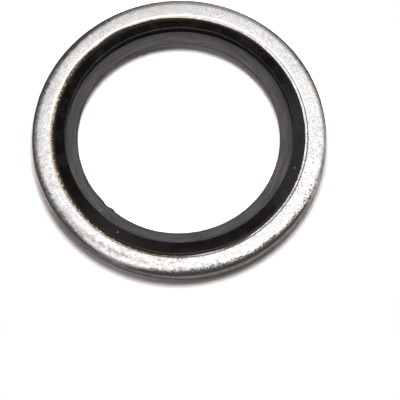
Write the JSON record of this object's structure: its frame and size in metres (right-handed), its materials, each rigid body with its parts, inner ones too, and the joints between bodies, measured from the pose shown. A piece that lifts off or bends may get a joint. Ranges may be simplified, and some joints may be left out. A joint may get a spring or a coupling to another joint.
{
  "type": "bonded sealing washer",
  "caption": "Flat steel ring with a rubber seal bonded into its bore: proud lips seal on both faces, and a thin inner web centres it on a pipe-thread bolt.",
  "frame": {"origin": "centre of the bore, at mid thickness of the ring", "axes": "+Z along the bore's axis; the part is the same on both sides of the XY plane and all round Z"},
  "size_m": [0.035, 0.035, 0.0032],
  "materials": {
    "steel": "tumbled and zinc plated, satin",
    "rubber": "moulded nitrile rubber, matt black"
  },
  "bodies": {
    "root": {"steel_ring": "steel", "rubber_seal": "rubber"}
  },
  "joints": []
}
